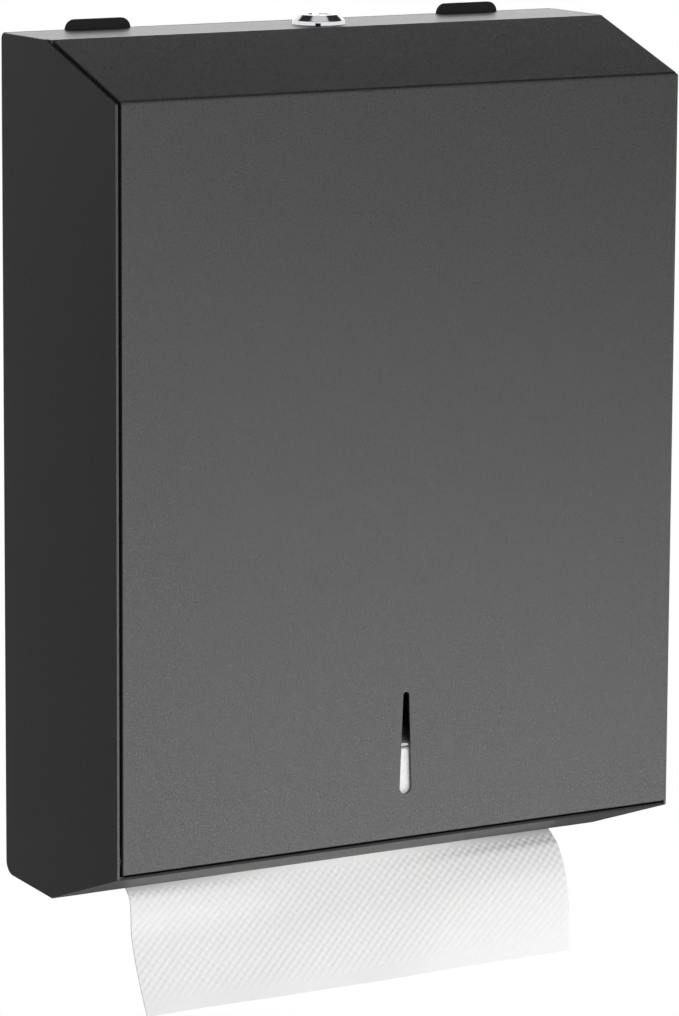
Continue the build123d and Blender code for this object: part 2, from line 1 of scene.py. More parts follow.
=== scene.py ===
from math import pi, radians
import bpy
import numpy as np
from mathutils import Matrix, Vector


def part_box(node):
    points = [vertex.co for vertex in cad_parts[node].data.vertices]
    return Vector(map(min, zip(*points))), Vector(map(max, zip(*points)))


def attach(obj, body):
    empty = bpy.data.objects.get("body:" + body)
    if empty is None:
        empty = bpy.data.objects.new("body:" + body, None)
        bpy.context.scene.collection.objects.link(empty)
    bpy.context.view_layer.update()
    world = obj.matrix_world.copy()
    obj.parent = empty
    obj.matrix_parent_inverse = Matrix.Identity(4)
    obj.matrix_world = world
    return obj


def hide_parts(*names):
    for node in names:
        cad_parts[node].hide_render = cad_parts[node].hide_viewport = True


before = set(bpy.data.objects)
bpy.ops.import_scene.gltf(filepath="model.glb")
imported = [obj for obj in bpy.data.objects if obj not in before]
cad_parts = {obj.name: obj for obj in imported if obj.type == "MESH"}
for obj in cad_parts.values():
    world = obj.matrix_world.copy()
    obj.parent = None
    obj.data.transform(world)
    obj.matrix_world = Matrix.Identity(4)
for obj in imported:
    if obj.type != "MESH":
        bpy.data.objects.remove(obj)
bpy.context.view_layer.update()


# Cabinet shell: back, two sides, top pan and towel tray, each folded from 1.2 mm steel sheet
# and spot-welded to its neighbours. All are coated with satin black powder, which melts into
# a fine pebbled skin when it is baked; the tray's coat is duller, and the back's dullest.
SATIN_PANELS = ["left_side_panel", "right_side_panel", "top_panel"]
POWDER_BLACK = (0.0130, 0.0130, 0.0134, 1.0)
POWDER_SPECK = (0.0230, 0.0230, 0.0235, 1.0)
# The back panel and its ears are given a darker black than the other panels.
DULL_BLACK = (0.0085, 0.0085, 0.0088, 1.0)
DULL_SPECK = (0.0150, 0.0150, 0.0153, 1.0)
SPECKS_PER_METRE = 1300.0
SPECK_DETAIL = 3.0
SPECK_RANGE = (0.38, 0.62)
GLOSS_PATCHES_PER_METRE = 1500.0
GLOSS_RANGE = (0.36, 0.64)
PEBBLES_PER_METRE = 1700.0
PEBBLE_STRENGTH = 0.8
PEBBLE_DEPTH = 0.00007


def new_finish(name):
    """Material with an empty node tree but for its shader and its output."""
    finish = bpy.data.materials.new(name)
    finish.use_nodes = True
    nodes, links = finish.node_tree.nodes, finish.node_tree.links
    return finish, nodes, links, nodes["Principled BSDF"]


def grain(nodes, links, place, scale, detail=2.0):
    """Cloudy pattern with this many patches to the metre."""
    noise = nodes.new("ShaderNodeTexNoise")
    noise.inputs["Scale"].default_value = scale
    noise.inputs["Detail"].default_value = detail
    links.new(place, noise.inputs["Vector"])
    return noise.outputs["Fac"]


def spread(nodes, links, value, low, high, start=0.3, end=0.7):
    """Low where the value is at start, high where it is at end, and in between from one to the other."""
    ramp = nodes.new("ShaderNodeMapRange")
    for socket, number in (("From Min", start), ("From Max", end), ("To Min", low), ("To Max", high)):
        ramp.inputs[socket].default_value = number
    links.new(value, ramp.inputs["Value"])
    return ramp.outputs["Result"]


def tint(nodes, links, value, low_colour, high_colour):
    """Colour that goes from one to the other as the value goes from 0 to 1."""
    mix = nodes.new("ShaderNodeMix")
    mix.data_type = "RGBA"
    links.new(value, mix.inputs["Factor"])
    sockets = [socket for socket in mix.inputs if socket.type == "RGBA"]
    for socket, colour in zip(sockets, (low_colour, high_colour)):
        if isinstance(colour, tuple):
            socket.default_value = colour
        else:
            links.new(colour, socket)
    return next(socket for socket in mix.outputs if socket.type == "RGBA")


def relief(nodes, links, height, strength, depth, under=None):
    """Bump of this depth in metres, over another bump if one is given."""
    bump = nodes.new("ShaderNodeBump")
    bump.inputs["Strength"].default_value = strength
    bump.inputs["Distance"].default_value = depth
    links.new(height, bump.inputs["Height"])
    if under is not None:
        links.new(under, bump.inputs["Normal"])
    return bump.outputs["Normal"]


def powder_coat(name, dark, light, roughness, pebble, shine):
    """Baked powder between two blacks and two roughnesses, with pebbles of this depth in metres."""
    finish, nodes, links, shader = new_finish(name)
    place = nodes.new("ShaderNodeTexCoord").outputs["Object"]
    specks = grain(nodes, links, place, SPECKS_PER_METRE, SPECK_DETAIL)
    specks = spread(nodes, links, specks, 0.0, 1.0, *SPECK_RANGE)
    links.new(tint(nodes, links, specks, dark, light), shader.inputs["Base Color"])
    patches = grain(nodes, links, place, GLOSS_PATCHES_PER_METRE)
    links.new(spread(nodes, links, patches, *roughness, *GLOSS_RANGE), shader.inputs["Roughness"])
    pebbles = grain(nodes, links, place, PEBBLES_PER_METRE)
    links.new(relief(nodes, links, pebbles, PEBBLE_STRENGTH, pebble), shader.inputs["Normal"])
    shader.inputs["Specular IOR Level"].default_value = shine
    return finish


def dress(names, finish):
    """Give CAD nodes this finish."""
    for name in names:
        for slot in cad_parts[name].material_slots:
            slot.material = finish


satin_coat = powder_coat("satin_black_powder_coat", POWDER_BLACK, POWDER_SPECK,
                         roughness=(0.32, 0.40), pebble=PEBBLE_DEPTH, shine=0.5)
tray_coat = powder_coat("tray_black_powder_coat", POWDER_BLACK, POWDER_SPECK,
                        roughness=(0.40, 0.54), pebble=PEBBLE_DEPTH, shine=0.27)
back_coat = powder_coat("dull_black_powder_coat", DULL_BLACK, DULL_SPECK,
                        roughness=(0.60, 0.74), pebble=PEBBLE_DEPTH, shine=0.2)
dress(SATIN_PANELS, satin_coat)
dress(["towel_tray"], tray_coat)
dress(["back_panel"], back_coat)


# Door hinge: two steel studs welded inside the side panels, each with a black nylon spacer and
# a dished push-on clip, so that the door swings down in front of the cabinet.
ZINC = (0.60, 0.61, 0.62, 1.0)
ZINC_WARM = (0.66, 0.65, 0.61, 1.0)
ZINC_ROUGHNESS = (0.26, 0.42)
ZINC_CRYSTAL_DEPTH = 0.00003
NYLON = (0.020, 0.020, 0.021, 1.0)
NYLON_SHADE = (0.032, 0.032, 0.033, 1.0)
NYLON_ROUGHNESS = (0.42, 0.55)


def zinc_plate():
    """Bright plating with warm clouds, uneven gloss and fine crystals."""
    finish, nodes, links, shader = new_finish("bright_zinc_plate")
    place = nodes.new("ShaderNodeTexCoord").outputs["Object"]
    clouds = grain(nodes, links, place, scale=90.0, detail=4.0)
    links.new(tint(nodes, links, clouds, ZINC, ZINC_WARM), shader.inputs["Base Color"])
    haze = grain(nodes, links, place, scale=420.0, detail=4.0)
    links.new(spread(nodes, links, haze, *ZINC_ROUGHNESS), shader.inputs["Roughness"])
    crystals = grain(nodes, links, place, scale=2600.0, detail=3.0)
    crystals = relief(nodes, links, crystals, strength=0.2, depth=ZINC_CRYSTAL_DEPTH)
    links.new(crystals, shader.inputs["Normal"])
    shader.inputs["Metallic"].default_value = 1.0
    return finish


def black_nylon():
    """Moulded nylon, a little uneven in shade and gloss."""
    finish, nodes, links, shader = new_finish("black_nylon")
    place = nodes.new("ShaderNodeTexCoord").outputs["Object"]
    shade = grain(nodes, links, place, scale=300.0)
    links.new(tint(nodes, links, shade, NYLON, NYLON_SHADE), shader.inputs["Base Color"])
    haze = grain(nodes, links, place, scale=700.0)
    links.new(spread(nodes, links, haze, *NYLON_ROUGHNESS), shader.inputs["Roughness"])
    return finish


zinc = zinc_plate()
dress(["left_hinge_stud", "right_hinge_stud", "left_hinge_clip", "right_hinge_clip"], zinc)
dress(["left_hinge_washer", "right_hinge_washer"], black_nylon())


# Key lock: a chromed die-cast housing through the top, held from below by a washer and a nut. Its chromed
# core turns a flat zinc-plated cam, which a screw holds on the core's square end. The housing's barrel
# and the foot of its bezel, with the notch in it, are painted dark: painted shade where the bezel meets
# the top.
CHROME = (0.78, 0.78, 0.80, 1.0)
CHROME_HAZE = (0.72, 0.72, 0.74, 1.0)
CHROME_ROUGHNESS = (0.10, 0.18)
# Painted shade: black for the lock's barrel and for the bezel's foot and notch, with the rough gloss it
# keeps there.
PAINTED_FOOT_SHADE = (0.020, 0.020, 0.021, 1.0)
FOOT_SHADE_ROUGHNESS = 0.7
FOOT_SHADE_INSET = 0.00045
UNSHADED_DEPTH = 0.00305
BEZEL_LOW, BEZEL_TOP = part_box("lock_housing")
LOCK_AXIS = ((BEZEL_LOW.x + BEZEL_TOP.x) / 2, (BEZEL_LOW.y + BEZEL_TOP.y) / 2, 0.0)
FOOT_SHADE_RADIUS = (BEZEL_TOP.x - BEZEL_LOW.x) / 2 - FOOT_SHADE_INSET
FOOT_SHADE_HEIGHT = BEZEL_TOP.z - UNSHADED_DEPTH


def combine(nodes, links, operation, first, second):
    """One number made of two; either may be a plain number."""
    step = nodes.new("ShaderNodeMath")
    step.operation = operation
    for socket, value in zip(step.inputs, (first, second)):
        if isinstance(value, float):
            socket.default_value = value
        else:
            links.new(value, socket)
    return step.outputs["Value"]


def painted_foot_shade_mask(nodes, links, place):
    """1 on the barrel and on the bezel's foot and notch, where shade is painted, 0 elsewhere."""
    offset = nodes.new("ShaderNodeVectorMath")
    offset.operation = "SUBTRACT"
    offset.inputs[1].default_value = LOCK_AXIS
    links.new(place, offset.inputs[0])
    level = nodes.new("ShaderNodeVectorMath")
    level.operation = "MULTIPLY"
    level.inputs[1].default_value = (1.0, 1.0, 0.0)
    links.new(offset.outputs["Vector"], level.inputs[0])
    radius = nodes.new("ShaderNodeVectorMath")
    radius.operation = "LENGTH"
    links.new(level.outputs["Vector"], radius.inputs[0])
    height = nodes.new("ShaderNodeSeparateXYZ")
    links.new(place, height.inputs["Vector"])
    inside = combine(nodes, links, "LESS_THAN", radius.outputs["Value"], FOOT_SHADE_RADIUS)
    below = combine(nodes, links, "LESS_THAN", height.outputs["Z"], FOOT_SHADE_HEIGHT)
    return combine(nodes, links, "MULTIPLY", inside, below)


def chrome_plate(name, shade_free):
    """Bright plating, on the whole piece, or with painted shade on the barrel and on the bezel's foot and
    notch.
    """
    finish, nodes, links, shader = new_finish(name)
    place = nodes.new("ShaderNodeTexCoord").outputs["Object"]
    colour = tint(nodes, links, grain(nodes, links, place, scale=160.0), CHROME, CHROME_HAZE)
    haze = grain(nodes, links, place, scale=900.0, detail=3.0)
    roughness = spread(nodes, links, haze, *CHROME_ROUGHNESS)
    # Painted shade darkens the barrel and the bezel's foot and notch.
    if not shade_free:
        foot_shade = painted_foot_shade_mask(nodes, links, place)
        colour = tint(nodes, links, foot_shade, colour, PAINTED_FOOT_SHADE)
        foot_shade_roughness = combine(nodes, links, "MULTIPLY", foot_shade, FOOT_SHADE_ROUGHNESS)
        roughness = combine(nodes, links, "MAXIMUM", roughness, foot_shade_roughness)
    links.new(colour, shader.inputs["Base Color"])
    links.new(roughness, shader.inputs["Roughness"])
    shader.inputs["Metallic"].default_value = 1.0
    return finish


# The housing's chrome has painted shade at its foot and in its notch.
dress(["lock_housing"], chrome_plate("chrome_with_painted_foot_shade", shade_free=False))
dress(["lock_plug"], chrome_plate("bright_chrome_plate", shade_free=True))
dress(["lock_washer", "lock_nut", "lock_cam", "cam_washer", "cam_screw"], zinc)


# Door: front and slope folded from one sheet, with the cabinet's coat but more pebbled, as the
# photograph shows it. A bent strip, riveted to its top flange, is what the lock's cam holds.
DOOR_PEBBLE_DEPTH = 0.00012
door_coat = powder_coat("door_black_powder_coat", POWDER_BLACK, POWDER_SPECK,
                        roughness=(0.25, 0.46), pebble=DOOR_PEBBLE_DEPTH, shine=0.5)
dress(["door_panel"], door_coat)
dress(["door_catch", "catch_rivets"], zinc)


# Folded towels: a pile of soft paper towels, each folded in three. The pile lies on the front
# lip and the rear ledge and arches over the slot, where the lower towels part for the next one.
# The upper ones have slid forward to the door, and a loose leaf hangs over their front edge.
PAPER = (0.85, 0.85, 0.845, 1.0)
PAPER_LIGHT = (0.90, 0.90, 0.895, 1.0)
PAPER_ROUGHNESS = (0.86, 0.96)
PAPER_SHINE = 0.2
FIBRE_STRENGTH = 0.25
FIBRE_DEPTH = 0.00010
DOTS_ACROSS, DOTS_DOWN = 245.0, 268.0
STRONG_ROWS, WEAK_ROWS = 0.53, 0.47
DOT_DEPTH = 0.00014
PILE_LOW, PILE_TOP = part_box("towel_stack")
TRAY_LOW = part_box("towel_tray")[0]
LOW_TOWELS, HIGH_TOWELS = 10, 8
PARTED_HIGH_TOWELS = 1
PILE_STEP = -0.14124
PILE_LEAN = 0.01483
PILE_SINK = 0.0022
PAPER_THICKNESS = 0.0007
LEVEL_SHARES = (0.14, 0.47, 0.80)
LEAF_INSET = 0.0005
LEAF_ROUND = 0.0009
LEAF_OVERLAP = 0.0120
LEAF_DEPTH = PILE_LOW.y + LEAF_INSET
TOP_TOWEL_ROOM = 0.0021
TOP_TOWEL_GAP = 0.0010
TOP_TOWEL_THICKNESS = 0.00030
LEAF_TOP = PILE_TOP.z - TOP_TOWEL_ROOM
DRAW_BACK, REAR_GAP, END_GAP = 0.0008, 0.0009, 0.0030
PILE_COLUMNS = 12
PANEL_STEPS = 30
FOLD_STEPS = 6
FOLD_ANGLE = radians(50)
SLIT_FRONT, SLIT_REAR = -0.0414, -0.0390
ARCH_FRONT, ARCH_REAR = -0.0555, -0.0152
ARCH_RUN = 0.0060
ARCH_RISE = 0.0135
LIP_EDGE = -0.1
LIP_RISE = 0.0205
LIP_RUN = 0.0585
LIP_SHEET = 0.0012716
REST_GAP = 0.0006


def dot_rows(nodes, links, place, down):
    """Staggered dots in slanting rows; down is the direction along the sheet, and X runs across it."""
    waves = []
    for slant, share in ((1.0, STRONG_ROWS), (-1.0, WEAK_ROWS)):
        across, along = Vector((DOTS_ACROSS, 0.0, 0.0)), slant * DOTS_DOWN * Vector(down)
        turns = nodes.new("ShaderNodeVectorMath")
        turns.operation = "DOT_PRODUCT"
        turns.inputs[1].default_value = 2 * pi * (across + along)
        links.new(place, turns.inputs[0])
        wave = combine(nodes, links, "COSINE", turns.outputs["Value"], 0.0)
        waves.append(combine(nodes, links, "MULTIPLY", wave, share))
    return combine(nodes, links, "ADD", *waves)


def pile_dots(nodes, links, fibres):
    """Dots on the towels' faces and on the leaf that hangs over their front."""
    place = nodes.new("ShaderNodeTexCoord").outputs["Object"]
    dots = dot_rows(nodes, links, place, down=(0.0, 1.0, 1.0))
    return relief(nodes, links, dots, 1.0, DOT_DEPTH, fibres)


def towel_paper(name, pattern):
    """White paper with its fibres; the pattern adds its own relief to the node tree."""
    finish, nodes, links, shader = new_finish(name)
    place = nodes.new("ShaderNodeTexCoord").outputs["Object"]
    pulp = grain(nodes, links, place, scale=420.0, detail=5.0)
    links.new(tint(nodes, links, pulp, PAPER, PAPER_LIGHT), shader.inputs["Base Color"])
    fluff = grain(nodes, links, place, scale=260.0)
    links.new(spread(nodes, links, fluff, *PAPER_ROUGHNESS), shader.inputs["Roughness"])
    fibres = grain(nodes, links, place, scale=1700.0, detail=6.0)
    fibres = relief(nodes, links, fibres, FIBRE_STRENGTH, FIBRE_DEPTH)
    links.new(pattern(nodes, links, fibres), shader.inputs["Normal"])
    shader.inputs["Specular IOR Level"].default_value = PAPER_SHINE
    return finish


def eased(share):
    """Share from 0 to 1 with a soft start and a soft end."""
    return share * share * (3 - 2 * share)


def pile_foot(y):
    """Height of what the pile rests on, or of its arch over the slot."""
    lip = TRAY_LOW.z + LIP_RISE - (y - LIP_EDGE) * (LIP_RISE / LIP_RUN) + LIP_SHEET + REST_GAP
    ledge = PILE_LOW.z + REST_GAP
    arch = TRAY_LOW.z + ARCH_RISE
    front_foot = lip + (arch - lip) * eased(np.clip((y - ARCH_FRONT) / ARCH_RUN, 0.0, 1.0))
    rear_foot = ledge + (arch - ledge) * eased(np.clip((ARCH_REAR - y) / ARCH_RUN, 0.0, 1.0))
    return np.where(y < (ARCH_FRONT + ARCH_REAR) / 2, front_foot, rear_foot)


def high_bed(y):
    """Level bed of the upper towels, on the lower ones."""
    return np.full_like(y, PILE_STEP)


def leaf_bed(y):
    """Level bed of the top towel, a little above the leaf that hangs over the pile's front."""
    return np.full_like(y, LEAF_TOP + TOP_TOWEL_GAP)


def zigzag(front, rear, radius):
    """Path of a sheet folded in three, seen from its end: depths, and levels as shares of a towel."""
    low, middle, high = LEVEL_SHARES
    straight = np.linspace(0.0, 1.0, PANEL_STEPS)
    turn = np.linspace(0.0, pi, FOLD_STEPS + 2)[1:-1]
    ahead, behind = front + radius, rear - radius
    depths = [
        behind + (ahead - behind) * straight,
        ahead - radius * np.sin(turn),
        ahead + (behind - ahead) * straight,
        behind + radius * np.sin(turn),
        behind + (ahead - behind) * straight,
    ]
    levels = [
        np.full(PANEL_STEPS, low),
        (low + middle) / 2 - (middle - low) / 2 * np.cos(turn),
        np.full(PANEL_STEPS, middle),
        (middle + high) / 2 - (high - middle) / 2 * np.cos(turn),
        np.full(PANEL_STEPS, high),
    ]
    return np.concatenate(depths), np.concatenate(levels)


def settled(x, z):
    """Heights in the pile, with the two ends of the upper towels sunk a little, as soft paper lies."""
    end = np.abs(2 * (x - PILE_LOW.x) / (PILE_TOP.x - PILE_LOW.x) - 1)
    return z - PILE_SINK * end**3 * np.clip((z - PILE_STEP) / (PILE_TOP.z - PILE_STEP), 0.0, 1.0)


def paper_grid(name, x, y, z, thickness):
    """Sheet of paper whose middle layer passes through a grid of points, once they have settled."""
    rows, columns = x.shape
    points = np.stack([x, y, settled(x, z)], axis=-1)
    bpy.ops.object.select_all(action="DESELECT")
    bpy.ops.mesh.primitive_grid_add(x_subdivisions=columns - 1, y_subdivisions=rows - 1, size=1.0)
    sheet = bpy.context.object
    sheet.name = sheet.data.name = name
    sheet.data.vertices.foreach_set("co", points.astype(np.float32).ravel())
    wall = sheet.modifiers.new("paper", "SOLIDIFY")
    wall.thickness = thickness
    wall.offset = 0.0
    bpy.ops.object.modifier_apply(modifier=wall.name)
    bpy.ops.object.shade_smooth_by_angle(angle=FOLD_ANGLE)
    return sheet


def folded_towel(name, bed, roof, tier, tiers, front, rear, shift, thickness=PAPER_THICKNESS):
    """One towel between two depths, on one of the tiers from the bed to the roof."""
    rise = (roof - bed(np.array([front]))[0]) / tiers
    depths, levels = zigzag(front, rear, (LEVEL_SHARES[1] - LEVEL_SHARES[0]) / 2 * rise)
    across = np.linspace(PILE_LOW.x, PILE_TOP.x - abs(shift), PILE_COLUMNS + 1) + max(shift, 0.0)
    x, y = np.meshgrid(across, depths)
    foot = bed(y)
    level = np.meshgrid(across, levels)[1]
    z = foot + (roof - foot) * (tier + level) / tiers
    return paper_grid(name, x, y, z, thickness)


def front_leaf():
    """Loose leaf of the towel below the top one: it runs over the pile's front edge and hangs down."""
    turn = np.linspace(0.0, pi / 2, FOLD_STEPS + 2)
    middle = LEAF_TOP - PAPER_THICKNESS / 2 - LEAF_ROUND
    bend_depths = LEAF_DEPTH + LEAF_ROUND * (1 - np.sin(turn))
    bend_heights = middle + LEAF_ROUND * np.cos(turn)
    depths = np.concatenate([[LEAF_DEPTH + LEAF_OVERLAP], bend_depths, [LEAF_DEPTH]])
    heights = np.concatenate([[middle + LEAF_ROUND], bend_heights, [PILE_STEP + PAPER_THICKNESS]])
    across = np.linspace(PILE_LOW.x, PILE_TOP.x, PILE_COLUMNS + 1)
    x, y = np.meshgrid(across, depths)
    z = np.meshgrid(across, heights)[1]
    return paper_grid("front_leaf", x, y, z, PAPER_THICKNESS)


chance = np.random.default_rng(7)
pile = []
for number in range(LOW_TOWELS + HIGH_TOWELS):
    draw_back = chance.uniform(0.0, DRAW_BACK)
    rear_gap = chance.uniform(0.0, REAR_GAP)
    sideways = chance.uniform(-END_GAP, END_GAP)
    if number < LOW_TOWELS:
        level = (pile_foot, PILE_STEP, number, LOW_TOWELS)
        front = PILE_LOW.y + PILE_LEAN + draw_back
        rear = PILE_TOP.y - rear_gap
    else:
        level = (high_bed, LEAF_TOP - PAPER_THICKNESS, number - LOW_TOWELS, HIGH_TOWELS)
        front = LEAF_DEPTH + PAPER_THICKNESS + draw_back
        rear = PILE_TOP.y - PILE_LEAN - rear_gap
    if number < LOW_TOWELS + PARTED_HIGH_TOWELS:
        pile.append(folded_towel(f"front_towel_{number}", *level, front, SLIT_FRONT, sideways))
        pile.append(folded_towel(f"rear_towel_{number}", *level, SLIT_REAR, rear, sideways))
    else:
        pile.append(folded_towel(f"towel_{number}", *level, front, rear, sideways))
pile.append(front_leaf())
top_level = (leaf_bed, PILE_TOP.z, 0, 1)
top_depths = (LEAF_DEPTH, PILE_TOP.y - PILE_LEAN)
pile.append(folded_towel("top_towel", *top_level, *top_depths, 0.0, TOP_TOWEL_THICKNESS))
bpy.ops.object.select_all(action="DESELECT")
for towel in pile:
    towel.select_set(True)
bpy.context.view_layer.objects.active = pile[0]
bpy.ops.object.join()
folded_towels = bpy.context.object
folded_towels.name = folded_towels.data.name = "folded_towels"
folded_towels.data.materials.append(towel_paper("folded_towel_paper", pile_dots))
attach(folded_towels, "cabinet")
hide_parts("towel_stack")


# Hanging towel: the next towel, drawn down through the slot. It is one soft sheet that bulges
# forward as it leaves the slot and curls more at its right end. It is embossed with staggered dots
# in slanting rows, which are pressed flat in a band at the slot and nearly flat at the free end.
HANG_LOW, HANG_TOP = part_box("hanging_towel")
HANG_WIDTH = HANG_TOP.x - HANG_LOW.x
TOWEL_FRONT = -0.0405
SLOT_EDGE = TRAY_LOW.z
INSIDE_LENGTH = HANG_TOP.z - SLOT_EDGE
INSIDE_SHARES = (1.0, 0.5, 0.25, 0.12, 0.07)
LEFT_CURVE = [(0.0, 0.0016), (0.0009, 0.00015), (0.0030, -0.0016), (0.0050, -0.0045), (0.0060, -0.0100),
              (0.0070, -0.0214), (0.0130, -0.0378), (0.0200, -0.0520)]
MIDDLE_CURVE = [(0.0, 0.0016), (0.0003, -0.0005), (0.0010, -0.0035), (0.0026, -0.0080), (0.0058, -0.0160),
                (0.0108, -0.0280), (0.0200, -0.0520)]
RIGHT_CURVE = [(0.0, 0.0016), (0.0009, 0.00015), (0.0025, -0.0007), (0.0059, -0.0030), (0.0098, -0.0065),
               (0.0156, -0.0177), (0.0185, -0.0340), (0.0187, -0.0520)]
CURVE_STEPS = 40
HANG_COLUMNS, HANG_ROWS = 120, 144
FREE_DROP = 0.052
RIPPLE_DEPTH = 0.0005
LONG_WAVES, LONG_START = 9.0, 0.6
SHORT_WAVES, SHORT_SLANT, SHORT_SHARE = 21.0, 5.0, 0.6
SHEET_THICKNESS = 0.00045
CURL_ANGLE = radians(60)
SMOOTH_BAND = 0.0023
BAND_FADE = 0.0020
BAND_EDGE = 0.0005
END_FADE, END_BAND = 0.012, 0.004
END_DOTS = 0.15


def side_path(curve):
    """Smooth path of one edge from inside the pile to the free end, at equal steps along the paper."""
    inside = [(0.0, share * INSIDE_LENGTH) for share in INSIDE_SHARES]
    knots = np.array([*inside, *curve])
    ends = np.vstack([2 * knots[0] - knots[1], knots, 2 * knots[-1] - knots[-2]])
    points = []
    for a, b, c, d in zip(ends, ends[1:], ends[2:], ends[3:]):
        square, cube = 2 * a - 5 * b + 4 * c - d, 3 * b - a - 3 * c + d
        for t in np.linspace(0.0, 1.0, CURVE_STEPS, endpoint=False):
            points.append((2 * b + (c - a) * t + square * t**2 + cube * t**3) / 2)
    points = np.array(points + [knots[-1]])
    run = np.concatenate([[0.0], np.cumsum(np.linalg.norm(np.diff(points, axis=0), axis=1))])
    steps = np.linspace(0.0, run[-1], HANG_ROWS + 1)
    return np.stack([np.interp(steps, run, points[:, k]) for k in (0, 1)], axis=-1), run[-1]


left_path, left_length = side_path(LEFT_CURVE)
middle_path, middle_length = side_path(MIDDLE_CURVE)
right_path, right_length = side_path(RIGHT_CURVE)
HANG_LENGTH = (left_length + middle_length + right_length) / 3
share, row = np.meshgrid(np.linspace(0.0, 1.0, HANG_COLUMNS + 1), np.arange(HANG_ROWS + 1))
to_middle = eased(np.clip(2 * share, 0.0, 1.0))[..., None]
to_right = eased(np.clip(2 * share - 1, 0.0, 1.0))[..., None]
path = left_path[row] + (middle_path[row] - left_path[row]) * to_middle
path += (right_path[row] - middle_path[row]) * to_right
free = np.clip(-path[..., 1] / FREE_DROP, 0.0, 1.0)
long_ripple = np.sin(LONG_WAVES * share + LONG_START)
short_ripple = np.sin(SHORT_WAVES * share + SHORT_SLANT * free)
x = HANG_LOW.x + HANG_WIDTH * share
y = TOWEL_FRONT - path[..., 0] + RIPPLE_DEPTH * free * (long_ripple + SHORT_SHARE * short_ripple)
z = SLOT_EDGE + path[..., 1]
bpy.ops.object.select_all(action="DESELECT")
bpy.ops.mesh.primitive_grid_add(x_subdivisions=HANG_COLUMNS, y_subdivisions=HANG_ROWS, size=1.0)
hanging_sheet = bpy.context.object
hanging_sheet.name = hanging_sheet.data.name = "hanging_sheet"
hanging_sheet.data.vertices.foreach_set("co", np.stack([x, y, z], axis=-1).astype(np.float32).ravel())
corners = np.empty(len(hanging_sheet.data.loops), np.int32)
hanging_sheet.data.loops.foreach_get("vertex_index", corners)
flat_place = np.stack([share * HANG_WIDTH, row / HANG_ROWS * HANG_LENGTH], axis=-1).reshape(-1, 2)
flat_map = hanging_sheet.data.uv_layers.active
flat_map.data.foreach_set("uv", flat_place[corners].astype(np.float32).ravel())
wall = hanging_sheet.modifiers.new("paper", "SOLIDIFY")
wall.thickness = SHEET_THICKNESS
wall.offset = 0.0
bpy.ops.object.modifier_apply(modifier=wall.name)
bpy.ops.object.shade_smooth_by_angle(angle=CURL_ANGLE)


def embossed_dots(nodes, links, fibres):
    """Rows of dots on the flat sheet, pressed flat at the slot and nearly flat at the free end."""
    flat = nodes.new("ShaderNodeUVMap").outputs["UV"]
    dots = dot_rows(nodes, links, flat, down=(0.0, 1.0, 0.0))
    place = nodes.new("ShaderNodeSeparateXYZ")
    links.new(flat, place.inputs["Vector"])
    along = place.outputs["Y"]
    band_top, band_foot = INSIDE_LENGTH - SMOOTH_BAND, INSIDE_LENGTH + SMOOTH_BAND
    above_slot = spread(nodes, links, along, 1.0, 0.0, band_top - BAND_FADE, band_top)
    below_slot = spread(nodes, links, along, 0.0, 1.0, band_foot - BAND_EDGE, band_foot + BAND_FADE)
    above_end = spread(nodes, links, along, 1.0, END_DOTS, HANG_LENGTH - END_FADE, HANG_LENGTH - END_BAND)
    kept = combine(nodes, links, "ADD", above_slot, below_slot)
    kept = combine(nodes, links, "MULTIPLY", kept, above_end)
    dots = combine(nodes, links, "MULTIPLY", dots, kept)
    return relief(nodes, links, dots, 1.0, DOT_DEPTH, fibres)


hanging_sheet.data.materials.append(towel_paper("embossed_towel_paper", embossed_dots))
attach(hanging_sheet, "towel")
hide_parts("hanging_towel")


# Studio floor: pale matt board, as far below the cabinet as a washroom floor is. To the camera, to
# gloss and to glass it is lightened about half way to white, and it still takes shadows.
FLOOR_Z = -1.25
FLOOR_SIZE = 5.0
FLOOR_PALE = (0.80, 0.80, 0.80, 1.0)
FLOOR_LIGHT = (0.84, 0.84, 0.84, 1.0)
FLOOR_ROUGHNESS = 0.9
FLOOR_GLOW = 0.55


def seen_directly(nodes, links):
    """1 where the camera, gloss or glass looks, 0 for the light that is shed on matt surfaces."""
    ray = nodes.new("ShaderNodeLightPath")
    seen = ray.outputs["Is Camera Ray"]
    for kind in ("Is Glossy Ray", "Is Transmission Ray"):
        seen = combine(nodes, links, "MAXIMUM", seen, ray.outputs[kind])
    return seen


def pale_board():
    """Matt board with faint clouds, lightened where it is seen directly."""
    finish, nodes, links, shader = new_finish("pale_board")
    place = nodes.new("ShaderNodeTexCoord").outputs["Object"]
    clouds = grain(nodes, links, place, scale=3.0)
    links.new(tint(nodes, links, clouds, FLOOR_PALE, FLOOR_LIGHT), shader.inputs["Base Color"])
    shader.inputs["Roughness"].default_value = FLOOR_ROUGHNESS
    glow = nodes.new("ShaderNodeEmission")
    lightened = nodes.new("ShaderNodeMixShader")
    glow_share = combine(nodes, links, "MULTIPLY", seen_directly(nodes, links), FLOOR_GLOW)
    links.new(glow_share, lightened.inputs["Fac"])
    links.new(shader.outputs["BSDF"], lightened.inputs[1])
    links.new(glow.outputs["Emission"], lightened.inputs[2])
    links.new(lightened.outputs["Shader"], nodes["Material Output"].inputs["Surface"])
    return finish


bpy.ops.object.select_all(action="DESELECT")
bpy.ops.mesh.primitive_plane_add(size=FLOOR_SIZE, location=(0.0, 0.0, FLOOR_Z))
floor = bpy.context.object
floor.name = "studio_floor"
floor.data.materials.append(pale_board())


# Dark cards: matt boards, out of the picture, that keep the cabinet's left side, its slope, its
# front and its lip as dark as they are in the photograph.
CARD_GREY = (0.03, 0.03, 0.03, 1.0)


def dark_board():
    """Dead matt board."""
    finish, nodes, links, shader = new_finish("dark_board")
    shader.inputs["Base Color"].default_value = CARD_GREY
    shader.inputs["Roughness"].default_value = 1.0
    return finish


